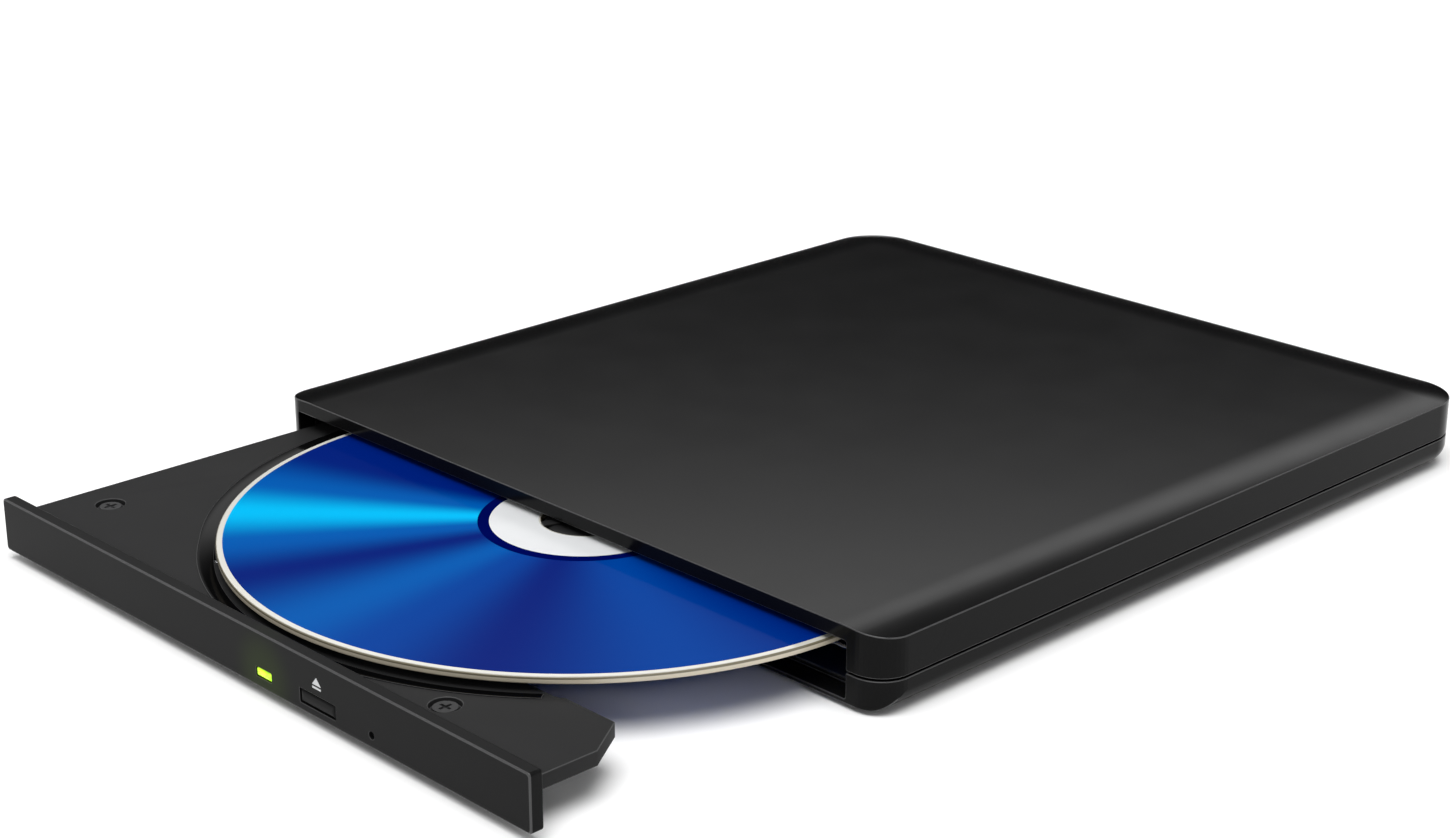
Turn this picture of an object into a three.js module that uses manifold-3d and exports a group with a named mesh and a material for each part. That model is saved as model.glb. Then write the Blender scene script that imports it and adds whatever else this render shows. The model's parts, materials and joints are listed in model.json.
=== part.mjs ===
// A slim external optical drive with its tray half out and a disc on the spindle.
//
// Millimetres, +Z up, -Y out of the front opening, +X to the right of someone facing the front.
// The origin is on the table, under the middle of the whole object. Inside that, every piece is
// placed from the middle of the housing's front plane (y = 0), and the tray's own pieces are
// placed from the front face of the bezel, so the tray slides by moving one group.

import * as THREE from "three";
import { mergeVertices } from "three/addons/utils/BufferGeometryUtils.js";
import Module from "manifold-3d";

const wasm = await Module();
wasm.setup();

// ---- Driving dimensions ----

const WIDTH = 149;
const DEPTH = 157;
const FOOT_HEIGHT = 0.8;
const EDGE_TOP = 12.6;
const CROWN = 0.8;
const PILLOW_BAND = 9.45;
const FRONT_RADIUS = 5.5;
const REAR_RADIUS = 9.5;
const WALL = 2;
const SEAM_LOW = 5.75;
const SEAM_HIGH = 6.15;
const TRAY_OUT = 60;
const TRAVERSE_ANGLE = THREE.MathUtils.degToRad(220);

const HALF = WIDTH / 2;
const TOP = EDGE_TOP + CROWN;
const FRONT_Y = -(DEPTH - TRAY_OUT) / 2;
const PLAY = 0.3;
const PAST = 1;

// The mouth in the front of the housing, and the solid frame round it.
const MOUTH = { left: -69.7, right: 67.1, low: 1.5, high: 10.9, frame: 3.2 };
const FLOOR_TOP = 1.9;
const CEILING = 11.4;

// The steel case of the drive inside the housing.
const CASE = { left: -70.9, right: 68.3, front: 4.2, rear: 131, low: 2, high: 10.9, sheet: 0.4 };
const CASE_FLOOR = CASE.low + CASE.sheet;

// The tray, from the front face of its bezel.
const BEZEL = { left: -69.3, right: 66.7, low: 1.65, high: 10.75, thick: 2.3 };
const TRAY = {
  left: -67.6,
  flangeLeft: -68.6,
  right: 25.3,
  wingRight: 63.5,
  front: 2.6,
  wingRear: 22.2,
  rear: 122,
  low: 3.9,
  wingLow: 5.5,
  flangeLow: 7.1,
  high: 7.9,
  recessFloor: 7.3,
  roof: 6.1,
  wall: 2,
};
const SPINDLE = { x: 3.1, y: 65.6 };
const RECESS = { top: 62.8, bottom: 61, opening: 60.5 };
const DISC = { radius: 60, bore: 7.5, low: 8.7, high: 9.9 };
const COVER = { low: 3.3, high: 3.6 };
const CONTROL_Z = 4.1;
const BUTTON = { x: 18.8, width: 8.4, height: 2 };
const WINDOW = { x: 5.3, width: 3.6, height: 1.2 };
const PINHOLE = { x: 31.7, z: 3.7, radius: 0.65 };
const TRAY_SCREWS = { left: [-60.9, 15.2], right: [38, 8.5] };
const SCREW_SINK_RADIUS = 2.5;
const SCREW_HEAD_RADIUS = 1.9;
const SCREW_SINK_FLOOR = 6.9;

// The slide rails run half as far as the tray, between the tray and the fixed channels.
const RAIL = { thick: 1.3, low: 3.9, high: 6.9, front: 4, length: 90 };
const RAIL_LEFT_X = -69.2;
const RAIL_RIGHT_X = 25.6;

// The traverse: u runs outwards from the spindle along the lens's path, v across it.
const DECK = { low: 3.7, high: 4.1, inner: 10.8, outer: 69.1 };
const ROD = { v: 15.6, z: 5.6, radius: 0.8, bush: 1.1 };
const TRAVERSE_ROOF = 7;
const LENS_U = 24.5;
const SCREW = { v: -18.2, z: 5.7, radius: 0.9, start: 13.4, end: 66.5, pitch: 3 };
const MOTOR_RADIUS = 1.5;

const FOOT = { x: 60, front: 12, rear: 145, radius: 4 };
const SOCKET = { x: -35, z: 5.5, width: 8.9, height: 3.2, front: 149.4, rear: 156.7 };
const LATCH_POST = { x: 20.2, y: 24, radius: 0.8, high: 4.4 };
const LATCH_PIVOT = { x: 15.6, y: 18, radius: 0.7 };
const CABLE = { x: -4, width: 12, low: 2.5, thick: 0.15, gap: 0.45, front: 13, rear: 100, trayEnd: 50 };

// ---- Solids ----

// A closed three.js geometry as a solid that can be joined and cut.
function solid(geometry) {
  const bare = geometry.clone();
  bare.deleteAttribute("normal");
  bare.deleteAttribute("uv");
  const merged = mergeVertices(bare, 1e-4);
  return new wasm.Manifold(
    new wasm.Mesh({
      numProp: 3,
      vertProperties: merged.attributes.position.array,
      triVerts: new Uint32Array(merged.index.array),
    }),
  );
}

// A solid as a three.js geometry.
function geometryOf(shape) {
  const { vertProperties, triVerts } = shape.getMesh();
  const geometry = new THREE.BufferGeometry();
  geometry.setAttribute("position", new THREE.BufferAttribute(new Float32Array(vertProperties), 3));
  geometry.setIndex(new THREE.BufferAttribute(new Uint32Array(triVerts), 1));
  geometry.computeVertexNormals();
  return geometry;
}

function block(x0, x1, y0, y1, z0, z1) {
  const box = new THREE.BoxGeometry(x1 - x0, y1 - y0, z1 - z0);
  return solid(box.translate((x0 + x1) / 2, (y0 + y1) / 2, (z0 + z1) / 2));
}

// An upright round bar, or a cone when the two radii differ.
function drum(x, y, z0, z1, radius, sides = 24, topRadius = radius) {
  const round = new THREE.CylinderGeometry(topRadius, radius, z1 - z0, sides);
  return solid(round.rotateX(Math.PI / 2).translate(x, y, (z0 + z1) / 2));
}

// A round bar lying along X.
function bar(x0, x1, y, z, radius, sides = 12) {
  const round = new THREE.CylinderGeometry(radius, radius, x1 - x0, sides);
  return solid(round.rotateZ(Math.PI / 2).translate((x0 + x1) / 2, y, z));
}

// A round bar lying along Y.
function rod(y0, y1, x, z, radius, sides = 12) {
  const round = new THREE.CylinderGeometry(radius, radius, y1 - y0, sides);
  return solid(round.translate(x, (y0 + y1) / 2, z));
}

function plate(shape, z0, z1) {
  const flat = new THREE.ExtrudeGeometry(shape, { depth: z1 - z0, bevelEnabled: false, curveSegments: 5 });
  return solid(flat.translate(0, 0, z0));
}

// A body of revolution about Z from [radius, height] pairs that start and end on the axis.
function turned(profile, sides = 24) {
  const points = profile.map(([radius, height]) => new THREE.Vector2(radius, height));
  return solid(new THREE.LatheGeometry(points, sides).rotateX(Math.PI / 2));
}

function polygon(points) {
  return new THREE.Shape(points.map(([x, y]) => new THREE.Vector2(x, y)));
}

// A rectangle with one radius on its two front corners and another on its two rear corners.
function rounded(x0, x1, y0, y1, front, rear = front) {
  const shape = new THREE.Shape();
  const quarter = Math.PI / 2;
  shape.moveTo(x0 + front, y0);
  shape.lineTo(x1 - front, y0);
  shape.absarc(x1 - front, y0 + front, front, -quarter, 0);
  shape.lineTo(x1, y1 - rear);
  shape.absarc(x1 - rear, y1 - rear, rear, 0, quarter);
  shape.lineTo(x0 + rear, y1);
  shape.absarc(x0 + rear, y1 - rear, rear, quarter, 2 * quarter);
  shape.lineTo(x0, y0 + front);
  shape.absarc(x0 + front, y0 + front, front, 2 * quarter, 3 * quarter);
  return shape;
}

// The housing's plan, drawn in by an inset.
function plan(inset, frontInset = inset) {
  const front = Math.max(FRONT_RADIUS - inset, 0.5);
  const rear = Math.max(REAR_RADIUS - inset, 0.5);
  return rounded(-HALF + inset, HALF - inset, frontInset, DEPTH - inset, front, rear);
}

// A slab whose sides and rear roll over by an elliptical edge while its front stays cut straight.
function rolledSlab(band, rise, length, z0) {
  const reach = 30;
  const corner = Math.max(REAR_RADIUS - band, 0.05);
  const shape = rounded(-HALF + band, HALF - band, -reach, DEPTH - band, corner);
  const rolled = new THREE.ExtrudeGeometry(shape, {
    depth: length,
    bevelThickness: rise,
    bevelSize: band,
    bevelSegments: 4,
    curveSegments: 4,
  });
  return solid(rolled.translate(0, 0, z0));
}

// ---- Materials ----

function look(color, roughness, metalness = 0) {
  return () => new THREE.MeshStandardMaterial({ color, roughness, metalness });
}

const blackShell = look(0x2b2b2c, 0.42);
const blackTray = look(0x303031, 0.5);
const rubber = look(0x1a1a1a, 0.9);
const steel = look(0x9a9c9e, 0.35, 1);
const brightSteel = look(0xc4c6c8, 0.25, 1);
const greenBoard = look(0x16462d, 0.55);
const blackPart = look(0x151516, 0.5);
const brass = look(0xb08d4a, 0.3, 1);
const lightGreen = look(0xb9e61e, 0.25);
const glassLens = look(0x9fc4d8, 0.05);
const discBlue = look(0x0a4fb0, 0.15);
const cableWhite = look(0xd8d8d2, 0.6);
const zinc = look(0x8c8f92, 0.45, 1);

function add(group, name, shape, material) {
  const mesh = new THREE.Mesh(geometryOf(shape), material());
  mesh.name = name;
  group.add(mesh);
}

// ---- Housing ----

function mouthCut() {
  return block(MOUTH.left, MOUTH.right, -PAST, MOUTH.frame + PAST, MOUTH.low, MOUTH.high);
}

function socketCut() {
  const side = SOCKET.width / 2 + PLAY;
  const rise = SOCKET.height / 2 + PLAY;
  const { x, z } = SOCKET;
  return block(x - side, x + side, DEPTH - WALL - PAST, DEPTH + PAST, z - rise, z + rise);
}

// The lip on the lower shell stands inside the seam, and the upper shell is relieved round it.
const LIP = { inset: 1.15, rise: 1.1 };

function upperShell() {
  const reach = 2;
  const pillow = rolledSlab(PILLOW_BAND, CROWN, EDGE_TOP - SEAM_HIGH + reach, SEAM_HIGH - reach);
  let shell = pillow.intersect(plate(plan(0), SEAM_HIGH, TOP + PAST));
  shell = shell.subtract(plate(plan(WALL, MOUTH.frame), SEAM_HIGH - PAST, CEILING));
  const relief = plate(plan(LIP.inset - 0.1), SEAM_HIGH - PAST, SEAM_LOW + LIP.rise + PLAY);
  shell = shell.subtract(relief).subtract(mouthCut()).subtract(socketCut());
  for (const side of [-1, 1]) {
    const x = side * FOOT.x;
    const boss = drum(x, FOOT.rear, 3.2, CEILING + 0.5, 3.2);
    shell = shell.add(boss).subtract(drum(x, FOOT.rear, 3, 9, 0.98, 12));
  }
  return shell;
}

function lowerShell() {
  const roll = { band: 3.4, rise: 3.2 };
  const slab = rolledSlab(roll.band, roll.rise, SEAM_LOW, FOOT_HEIGHT + roll.rise);
  let shell = slab.intersect(plate(plan(0), FOOT_HEIGHT, SEAM_LOW));
  const lip = plate(plan(LIP.inset), SEAM_LOW - PAST, SEAM_LOW + LIP.rise);
  shell = shell.add(lip).subtract(plate(plan(WALL, MOUTH.frame), FLOOR_TOP, TOP));
  shell = shell.subtract(mouthCut()).subtract(socketCut());
  for (const x of [-48, 8]) {
    shell = shell.add(drum(x, 150, FLOOR_TOP - 0.2, 2.6, 2, 12));
  }
  for (const side of [-1, 1]) {
    const x = side * FOOT.x;
    shell = shell.add(drum(x, FOOT.rear, FLOOR_TOP - 0.2, 3.1, 4.2));
    shell = shell.subtract(drum(x, FOOT.rear, 1, 2.25, 2.4));
    shell = shell.subtract(drum(x, FOOT.rear, 2, 4, 1.2, 12));
    for (const y of [FOOT.front, FOOT.rear]) {
      shell = shell.subtract(drum(x, y, 0, 1.2, FOOT.radius + PLAY));
    }
  }
  return shell;
}

function shellScrew(x) {
  const head = drum(x, FOOT.rear, 1.25, 2.15, 2.2, 16);
  return head.add(drum(x, FOOT.rear, 2, 8.4, 0.9, 12));
}

function basePan() {
  const { left, right, front, rear, low, high, sheet } = CASE;
  let pan = block(left, right, front, rear, low, CASE_FLOOR);
  pan = pan.add(block(left, left + sheet, front, rear, low, high));
  pan = pan.add(block(right - sheet, right, front, rear, low, high));
  pan = pan.add(block(left, right, rear - sheet, rear, low, 6));
  return pan.subtract(block(36, 54, rear - 1, rear + 1, CASE_FLOOR, 7));
}

function topCover() {
  const { left, right, front, rear, sheet } = CASE;
  const flange = 0.5;
  let cover = block(left - flange, right + flange, front, rear, 10.95, 11.3);
  cover = cover.add(block(left - flange, left - 0.1, front, rear, 8.5, 11.1));
  cover = cover.add(block(right + 0.1, right + flange, front, rear, 8.5, 11.1));
  return cover.subtract(block(-20, 20, rear - 12, rear + sheet, 10, 12));
}

// The fixed channel hugs a slide rail from outside: a web with a lip under and over the rail.
function leftChannel() {
  const rear = 126;
  const web = block(-70.4, -69.5, 4.6, rear, 3, 7.6);
  const under = block(-69.6, -68.3, 4.6, rear, 3, 3.5);
  return web.add(under).add(block(-69.6, -68.9, 4.6, rear, 7.15, 7.6));
}

function rightChannel() {
  const front = 23.6;
  const rear = 126;
  const web = block(27.3, 28.1, front, rear, 2.45, 7.7);
  const under = block(26, 27.4, front, rear, 3, 3.5);
  const over = block(26.2, 27.4, front, rear, 7.2, 7.7);
  const foot = block(28, 33.5, front, rear, 2.45, 2.95);
  return web.add(under).add(over).add(foot).subtract(block(25, 36, 86.5, 101.5, 2, 2.85));
}

function driveBoard() {
  const board = plate(rounded(38, 66, 26, 127.6, 1.5), 2.9, 3.9);
  return board.subtract(drum(62, 30, 2, 5, 1.2, 12)).subtract(drum(62, 122, 2, 5, 1.2, 12));
}

function usbSocket() {
  const { x, z, width, height, front, rear } = SOCKET;
  const depth = rear - front;
  const upright = (shape) => {
    const deep = new THREE.ExtrudeGeometry(shape, { depth, bevelEnabled: false, curveSegments: 3 });
    return solid(deep.rotateX(Math.PI / 2).translate(x, rear, z));
  };
  const oval = (inset) => {
    const across = width / 2 - inset;
    const up = height / 2 - inset;
    return rounded(-across, across, -up, up, up - 0.05);
  };
  const wall = 0.3;
  const bore = upright(oval(wall)).translate([0, 1, 0]);
  return upright(oval(0)).subtract(bore);
}

function flatCable() {
  const { x, width, low, thick, gap, front, rear, trayEnd } = CABLE;
  const left = x - width / 2;
  const right = x + width / 2;
  const high = low + thick + gap;
  const lower = block(left, right, front, rear, low, low + thick);
  const branch = block(left, 34.2, rear - width, rear, low, low + thick);
  const upper = block(left, right, front, trayEnd, high, high + thick);
  const bend = bar(left, right, front, low + thick + gap / 2, gap / 2 + thick, 16);
  const hollow = bar(left - 1, right + 1, front, low + thick + gap / 2, gap / 2, 16);
  const rearHalf = block(left - 1, right + 1, front, front + 2, low + thick, high);
  const turn = bend.subtract(hollow).subtract(rearHalf);
  return lower.add(branch).add(upper).add(turn);
}

function makeHousing(group) {
  add(group, "upper_shell", upperShell(), blackShell);
  add(group, "lower_shell", lowerShell(), blackShell);
  for (const [row, y] of [["front", FOOT.front], ["rear", FOOT.rear]]) {
    for (const [side, sign] of [["left", -1], ["right", 1]]) {
      const pad = drum(sign * FOOT.x, y, 0, 1.1, FOOT.radius);
      add(group, `rubber_foot_${row}_${side}`, pad, rubber);
    }
  }
  add(group, "shell_screw_left", shellScrew(-FOOT.x), zinc);
  add(group, "shell_screw_right", shellScrew(FOOT.x), zinc);
  add(group, "drive_base_pan", basePan(), steel);
  add(group, "drive_top_cover", topCover(), steel);
  add(group, "guide_channel_left", leftChannel(), blackPart);
  add(group, "guide_channel_right", rightChannel(), blackPart);
  add(group, "drive_board", driveBoard(), greenBoard);
  add(group, "drive_chip", block(45, 57, 60, 72, 3.95, 5), blackPart);
  add(group, "flex_connector", block(34.5, 37.7, 86, 102, 2.5, 4.2), cableWhite);
  add(group, "drive_connector", block(38, 52, 128, 133.7, 2.6, 5.4), blackPart);
  add(group, "bridge_board", plate(rounded(-52, 53, 134.2, 153.5, 1), 2.7, 3.7), greenBoard);
  add(group, "bridge_chip", block(-12, -4, 139, 147, 3.75, 4.7), blackPart);
  add(group, "usb_socket_shell", usbSocket(), brightSteel);
  const { x, z, front, rear } = SOCKET;
  const tongue = block(x - 3.2, x + 3.2, front + 1.1, rear - 0.7, z - 0.35, z + 0.35);
  add(group, "usb_socket_tongue", tongue, blackPart);
  const { x: px, y: py, radius, high } = LATCH_POST;
  add(group, "latch_post", drum(px, py, CASE_FLOOR + 0.05, high, radius, 16), steel);
  add(group, "flat_flex_cable", flatCable(), cableWhite);
}

// ---- Slide rails ----

function makeRails(group) {
  const rear = RAIL.front + RAIL.length;
  for (const [side, x] of [["left", RAIL_LEFT_X], ["right", RAIL_RIGHT_X]]) {
    const strip = block(x, x + RAIL.thick, RAIL.front, rear, RAIL.low, RAIL.high);
    const middle = (RAIL.low + RAIL.high) / 2;
    const inner = side === "left" ? x + RAIL.thick - 0.4 : x - PAST;
    const groove = block(inner, inner + PAST + 0.4, RAIL.front + 3, rear - 3, middle - 0.6, middle + 0.6);
    add(group, `slide_rail_${side}`, strip.subtract(groove), brightSteel);
  }
}

// ---- Tray ----

// A traverse shape, drawn along u and v, laid in the tray's own frame.
function laid(shape) {
  const degrees = THREE.MathUtils.radToDeg(TRAVERSE_ANGLE);
  return shape.rotate([0, 0, degrees]).translate([SPINDLE.x, SPINDLE.y, 0]);
}

// The plan of the traverse unit: the lens path, the round spindle bay and the sled motor's bay.
function traversePlan(grow, z0, z1) {
  const path = block(9, 69.6 + grow, -19.9 - grow, 17.9 + grow, z0, z1);
  const motorBay = block(-7 - grow, 12, -19.9 - grow, -8, z0, z1);
  return path.add(motorBay).add(drum(0, 0, z0, z1, 14 + grow, 32));
}

function trayFrame() {
  const t = TRAY;
  const flangeOutline = polygon([
    [t.flangeLeft, t.front],
    [t.right, t.front],
    [t.right, t.rear - 4],
    [t.right - 4, t.rear],
    [t.flangeLeft + 3, t.rear],
    [t.flangeLeft, t.rear - 3],
  ]);
  const wing = polygon([
    [t.right - 1, t.front],
    [t.wingRight, t.front],
    [t.wingRight, t.front + 12.1],
    [t.wingRight - 4.8, t.wingRear],
    [t.right - 1, t.wingRear],
  ]);
  let frame = plate(flangeOutline, t.flangeLow, t.high);
  frame = frame.add(block(t.left, t.right, t.front, t.rear - 4, t.low, t.high));
  frame = frame.add(plate(wing, t.wingLow, t.high));
  const recess = drum(SPINDLE.x, SPINDLE.y, t.recessFloor, t.high + 0.01, RECESS.bottom, 72, RECESS.top);
  frame = frame.subtract(recess);
  const w = t.wall;
  frame = frame.subtract(block(t.left + w, t.right - w, t.front + w, t.rear - 4 - w, t.low - PAST, t.roof));
  // The traverse unit hangs in an opening inside the recess, and its outer end under the plate.
  const opening = traversePlan(0.6, 0, TOP).intersect(drum(0, 0, 0, TOP, RECESS.opening, 48));
  frame = frame.subtract(laid(opening.add(traversePlan(0.6, 0, TRAVERSE_ROOF))));
  frame = frame.subtract(block(BUTTON.x - 1.6, BUTTON.x + 1.6, 0, t.front + w + PAST, t.low - PAST, 5.2));
  frame = frame.subtract(block(WINDOW.x - 1.2, WINDOW.x + 1.2, 0, t.front + w + PAST, t.low - PAST, 5.2));
  frame = frame.subtract(block(18.8, 21.6, LATCH_POST.y, t.rear + PAST, t.low - PAST, 4.9));
  for (const [x, y] of Object.values(TRAY_SCREWS)) {
    frame = frame.subtract(drum(x, y, SCREW_SINK_FLOOR, t.high + PAST, SCREW_SINK_RADIUS, 20));
    frame = frame.subtract(drum(x, y, t.low, t.high, 1.1, 12));
  }
  return frame;
}

function frontBezel() {
  const { left, right, low, high, thick } = BEZEL;
  const edge = 0.25;
  const shape = rounded(left + edge, right - edge, low + edge, high - edge, 0.1);
  const bevelled = new THREE.ExtrudeGeometry(shape, {
    depth: thick - 2 * edge,
    bevelThickness: edge,
    bevelSize: edge,
    bevelSegments: 1,
    curveSegments: 1,
  });
  let bezel = solid(bevelled.rotateX(Math.PI / 2).translate(0, thick - edge, 0));
  const slot = (centre, width, height) => {
    const side = width / 2 + 0.2;
    const rise = height / 2 + 0.2;
    return block(centre - side, centre + side, -PAST, thick + PAST, CONTROL_Z - rise, CONTROL_Z + rise);
  };
  bezel = bezel.subtract(slot(BUTTON.x, BUTTON.width, BUTTON.height));
  bezel = bezel.subtract(slot(WINDOW.x, WINDOW.width, WINDOW.height));
  return bezel.subtract(rod(-PAST, thick + PAST, PINHOLE.x, PINHOLE.z, PINHOLE.radius));
}

function ejectButton() {
  const side = BUTTON.width / 2;
  const rise = BUTTON.height / 2;
  const cap = block(BUTTON.x - side, BUTTON.x + side, 0.05, 1.7, CONTROL_Z - rise, CONTROL_Z + rise);
  return cap.add(block(BUTTON.x - 0.8, BUTTON.x + 0.8, 1.6, 4.9, CONTROL_Z - 0.5, CONTROL_Z + 0.6));
}

function trayScrew([x, y], low) {
  const head = drum(x, y, 6.95, 7.6, SCREW_HEAD_RADIUS, 20);
  const cross = block(x - 1.1, x + 1.1, y - 0.25, y + 0.25, 7.25, 8);
  const across = block(x - 0.25, x + 0.25, y - 1.1, y + 1.1, 7.25, 8);
  return head.add(drum(x, y, low, 7, 1, 12)).subtract(cross).subtract(across);
}

function bottomCover() {
  const { low, high } = COVER;
  const sheet = plate(rounded(-67.3, 25, 3.1, 117.6, 1.5), low, high);
  const postSlot = block(18.8, 21.6, LATCH_POST.y - 2, 119, low - PAST, high + PAST);
  return sheet.subtract(postSlot);
}

function traverseDeck() {
  const { low, high, inner, outer } = DECK;
  let deck = traversePlan(0, low, high).subtract(block(15, 66.8, -13.8, 13.8, 0, TOP));
  for (const v of [-ROD.v, ROD.v]) {
    deck = deck.add(block(inner, inner + 1.2, v - 1, v + 1, high - 0.1, 6.6));
    deck = deck.add(block(outer - 1.2, outer, v - 1, v + 1, high - 0.1, 6.6));
  }
  return deck;
}

function traverseCover() {
  const sheet = traversePlan(0, 7.35, 7.65).intersect(drum(0, 0, 7, 8, RECESS.opening - PLAY, 48));
  const lensSlot = block(17.5, 65, -7.5, 7.5, 7, 8);
  return sheet.subtract(lensSlot).subtract(drum(0, 0, 7, 8, 13, 32));
}

function makeTray(group) {
  add(group, "tray_frame", trayFrame(), blackTray);
  add(group, "front_bezel", frontBezel(), blackTray);
  const w = WINDOW;
  const low = CONTROL_Z - w.height / 2;
  const high = CONTROL_Z + w.height / 2;
  add(group, "status_window", block(w.x - w.width / 2, w.x + w.width / 2, 0.05, 2.2, low, high), lightGreen);
  add(group, "status_led", block(w.x - 0.8, w.x + 0.8, 4.9, 6.4, 3.8, 5.2), lightGreen);
  add(group, "tray_screw_left", trayScrew(TRAY_SCREWS.left, 4.6), zinc);
  add(group, "tray_screw_right", trayScrew(TRAY_SCREWS.right, 5.2), zinc);
  add(group, "tray_board", block(-14, 23, 4.9, 15.5, 5.3, 5.95), greenBoard);
  add(group, "eject_switch", block(BUTTON.x - 2, BUTTON.x + 2, 5.9, 8.9, 3.8, 5.2), blackPart);
  add(group, "latch_solenoid", block(6, 12.6, 17, 24, 3.75, 5.9), brass);
  const pivot = LATCH_PIVOT;
  add(group, "latch_pin", drum(pivot.x, pivot.y, 3.75, 6, pivot.radius, 16), steel);
  add(group, "tray_bottom_cover", bottomCover(), steel);
}

// ---- Traverse: spindle, sled and lens ----

function makeTraverse(group) {
  add(group, "traverse_deck", traverseDeck(), steel);
  add(group, "traverse_cover", traverseCover(), blackPart);
  const dampers = [[14.2, 11.6], [68, 15.6], [68, -15.6]];
  dampers.forEach(([u, v], index) => {
    add(group, `deck_damper_${index + 1}`, drum(u, v, 6.65, 6.95, 1.1, 12), rubber);
  });
  add(group, "spindle_stator", drum(0, 0, 4.2, 6.4, 10.5, 28), steel);
  for (const [name, v] of [["a", ROD.v], ["b", -ROD.v]]) {
    add(group, `guide_rod_${name}`, bar(12.3, 67.6, v, ROD.z, ROD.radius), brightSteel);
  }
  const motor = bar(-6.4, 11.6, SCREW.v, SCREW.z, MOTOR_RADIUS, 16);
  add(group, "sled_motor", motor.add(block(11.5, 12.6, SCREW.v - 1.5, SCREW.v + 1.5, 4.2, 7.2)), steel);
}

function makeSpindle(group) {
  const table = turned([
    [0, 6.6],
    [11.2, 6.6],
    [11.5, 6.9],
    [11.5, 7.9],
    [12.4, 8.1],
    [7, 8.1],
    [7, 9.6],
    [6.2, 9.9],
    [0, 9.9],
  ], 36);
  add(group, "turntable", table, blackPart);
  const pad = drum(0, 0, 8.15, 8.6, 12.3, 36).subtract(drum(0, 0, 8, 9, 8.4, 36));
  add(group, "turntable_pad", pad, rubber);
  for (let index = 0; index < 3; index += 1) {
    const claw = block(4.6, 7.7, -0.8, 0.8, 9.95, 10.3);
    add(group, `disc_claw_${index + 1}`, claw.rotate([0, 0, 30 + 120 * index]), blackPart);
  }
  const disc = drum(0, 0, DISC.low, DISC.high, DISC.radius, 80);
  add(group, "optical_disc", disc.subtract(drum(0, 0, DISC.low - 1, DISC.high + 1, DISC.bore, 36)), discBlue);
}

function makeSled(group) {
  const reach = 9;
  const { v, z, radius, bush } = ROD;
  let body = block(-reach, reach, -13.3, 13.3, 4.3, 6.6);
  for (const side of [-v, v]) {
    const inner = Math.sign(side) * 13;
    const arm = block(-5, 5, Math.min(inner, side), Math.max(inner, side), z - 0.7, z + 0.7);
    body = body.add(arm).add(bar(-5, 5, side, z, bush, 12));
    body = body.subtract(bar(-reach, reach, side, z, radius + 0.08, 12));
  }
  body = body.subtract(block(-5.2, 5.2, -6.8, 6.8, 5.9, 7));
  add(group, "pickup_sled", body, zinc);
  add(group, "laser_module", block(-8, -5.6, 4, 10, 6.65, 6.9), blackPart);
  add(group, "screw_follower", block(-2, 2, SCREW.v - 1, -8.2, 6.7, 6.9), blackPart);
}

function makeLens(group) {
  const holder = block(-4.2, 4.2, -5.8, 5.8, 6.55, 7.15).subtract(drum(0, 0, 6, 8, 1.5, 16));
  add(group, "lens_holder", holder, blackPart);
  const lens = turned([
    [0, 7.2],
    [1.9, 7.2],
    [1.9, 7.5],
    [1.3, 7.8],
    [0, 7.95],
  ], 20);
  add(group, "objective_lens", lens, glassLens);
}

// The lead screw: a shaft with a round groove at each pitch.
function leadScrew() {
  const { start, end, radius, pitch } = SCREW;
  const profile = [[0, start], [radius, start]];
  for (let along = start + 2; along < end - 2; along += pitch) {
    profile.push([radius, along], [radius - 0.3, along + 0.5], [radius, along + 1]);
  }
  profile.push([radius, end], [0, end]);
  const upright = turned(profile, 10);
  return upright.rotate([0, 90, 0]).translate([0, SCREW.v, SCREW.z]);
}

// ---- Latch ----

function latchLever() {
  const { x, y } = LATCH_PIVOT;
  const low = 3.9;
  const high = 4.5;
  const boss = drum(x, y, low, high, 1.7, 20);
  const arm = polygon([
    [x - 0.2, y + 1],
    [x + 1.5, y + 0.4],
    [x + 3, y + 3.5],
    [x + 3, y + 7.2],
    [x + 5.7, y + 7.2],
    [x + 5.2, y + 8.4],
    [x + 1.4, y + 8.4],
  ]);
  return boss.add(plate(arm, low, high)).subtract(drum(x, y, low - 1, high + 1, 0.8, 20));
}

// ---- Assembly ----

const part = new THREE.Group();
const drive = new THREE.Group();
drive.position.y = FRONT_Y;
part.add(drive);
makeHousing(drive);
makeRails(drive);

const tray = new THREE.Group();
tray.position.y = -TRAY_OUT;
drive.add(tray);
makeTray(tray);
add(tray, "eject_button", ejectButton(), blackTray);
add(tray, "latch_lever", latchLever(), steel);

const traverse = new THREE.Group();
traverse.position.set(SPINDLE.x, SPINDLE.y, 0);
traverse.rotation.z = TRAVERSE_ANGLE;
tray.add(traverse);
makeTraverse(traverse);
makeSpindle(traverse);
add(traverse, "lead_screw", leadScrew(), brightSteel);

const sled = new THREE.Group();
sled.position.x = LENS_U;
traverse.add(sled);
makeSled(sled);
makeLens(sled);

export default part;
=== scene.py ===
"""Looks for a slim external optical drive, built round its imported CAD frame. Metres, +Z up."""

import json
import math

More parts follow.
